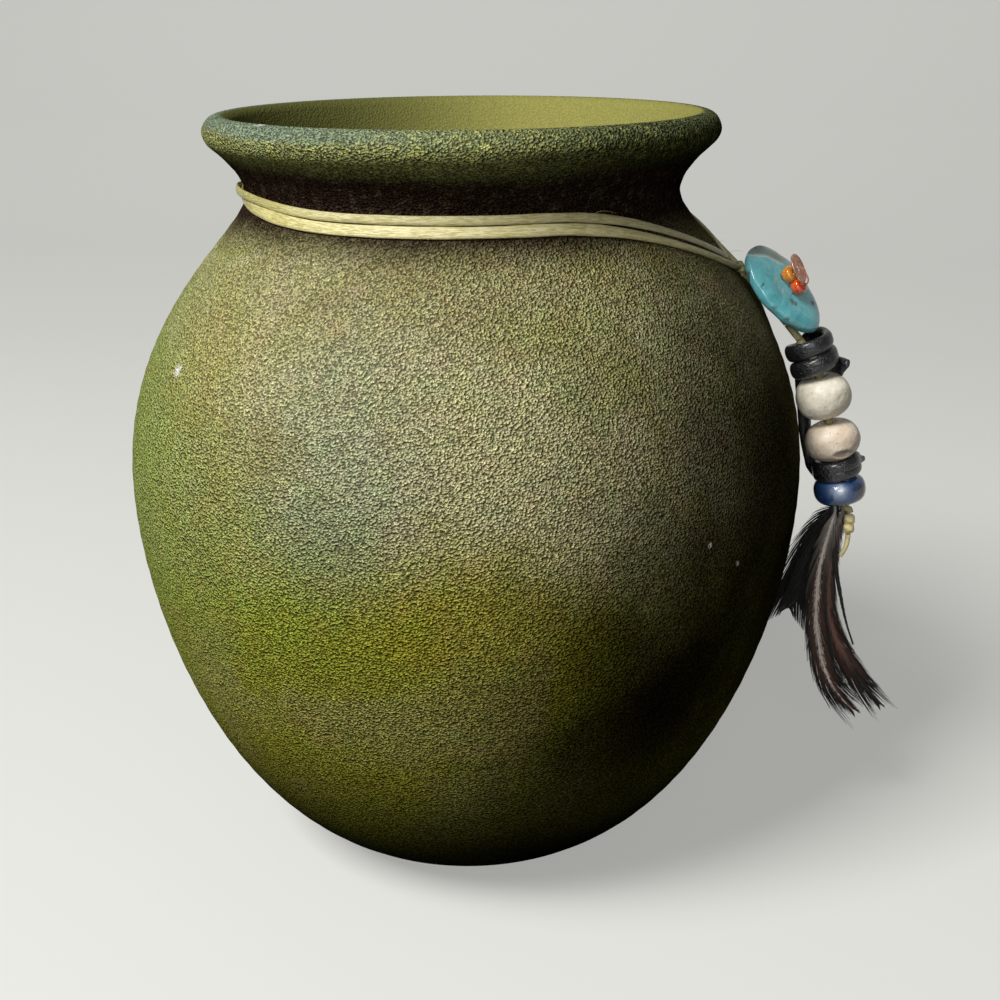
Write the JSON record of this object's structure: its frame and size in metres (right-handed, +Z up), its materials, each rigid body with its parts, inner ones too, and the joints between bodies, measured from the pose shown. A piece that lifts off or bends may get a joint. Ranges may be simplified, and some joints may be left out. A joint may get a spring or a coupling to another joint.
{
  "type": "raku jar",
  "caption": "Round-bellied raku jar with a rolled lip and a sinew cord tied round its neck, carrying a turquoise slab and a swinging tassel of beads, black lace and feathers.",
  "frame": {"origin": "centre of the foot ring, on the plane that the jar stands on", "axes": "+Z up along the jar's axis, +X towards the hanging tassel, +Y behind the tassel as the picture shows it"},
  "size_m": [0.1706, 0.1482, 0.1629],
  "materials": {
    "raku_clay": "matte",
    "sinew": "satin",
    "turquoise": "satin",
    "amber_glass": "gloss",
    "red_glass": "gloss",
    "copper": "satin",
    "black_leather": "satin",
    "cream_ceramic": "satin",
    "pink_ceramic": "satin",
    "blue_glass": "gloss",
    "feather_pale": "matte",
    "feather_brown": "matte",
    "feather_dark": "matte"
  },
  "bodies": {
    "jar": {"jar": "raku_clay"},
    "tie": {"neck_tie": "sinew", "shoulder_knot": "sinew"},
    "charm": {"strand_under_slab": "sinew", "turquoise_slab": "turquoise", "charm_stitch": "sinew", "amber_bead": "amber_glass", "red_bead": "red_glass", "copper_disc": "copper"},
    "link": {"strand_link": "sinew"},
    "tassel": {"strand_through_beads": "sinew", "strand_tail": "sinew", "end_knot": "sinew", "black_lace": "black_leather", "feather_striped": "feather_pale", "feather_brown": "feather_brown", "feather_wisp": "feather_dark", "feather_black": "feather_dark", "feather_black_short": "feather_dark"},
    "white_bead_upper": {"white_bead_upper": "cream_ceramic"},
    "white_bead_lower": {"white_bead_lower": "pink_ceramic"},
    "blue_bead": {"blue_bead": "blue_glass"}
  },
  "joints": [
    {"name": "tie_turn", "type": "hinge", "parent": "jar", "child": "tie", "pos_m": [0, 0, 0.145], "axis": [0, 0, 1], "continuous": true},
    {"name": "charm_lift", "type": "hinge", "parent": "tie", "child": "charm", "pos_m": [0.05951, 0, 0.13068], "axis": [0, -1, 0], "range_deg": [0, 30]},
    {"name": "tassel_sway", "type": "hinge", "parent": "charm", "child": "link", "pos_m": [0.0696, 0, 0.1192], "axis": [1, 0, 0], "range_deg": [-15, 15]},
    {"name": "tassel_lift", "type": "hinge", "parent": "link", "child": "tassel", "pos_m": [0.0724, 0, 0.1158], "axis": [0, -1, 0], "range_deg": [0, 10]},
    {"name": "white_upper_spin", "type": "hinge", "parent": "tassel", "child": "white_bead_upper", "pos_m": [0.07829, 0, 0.10313], "axis": [0.2822, 0, -0.9593], "continuous": true},
    {"name": "white_lower_spin", "type": "hinge", "parent": "tassel", "child": "white_bead_lower", "pos_m": [0.08078, 0, 0.09375], "axis": [0.2296, 0, -0.9733], "continuous": true},
    {"name": "blue_spin", "type": "hinge", "parent": "tassel", "child": "blue_bead", "pos_m": [0.08326, 0, 0.08125], "axis": [0.1595, 0, -0.9872], "continuous": true}
  ]
}
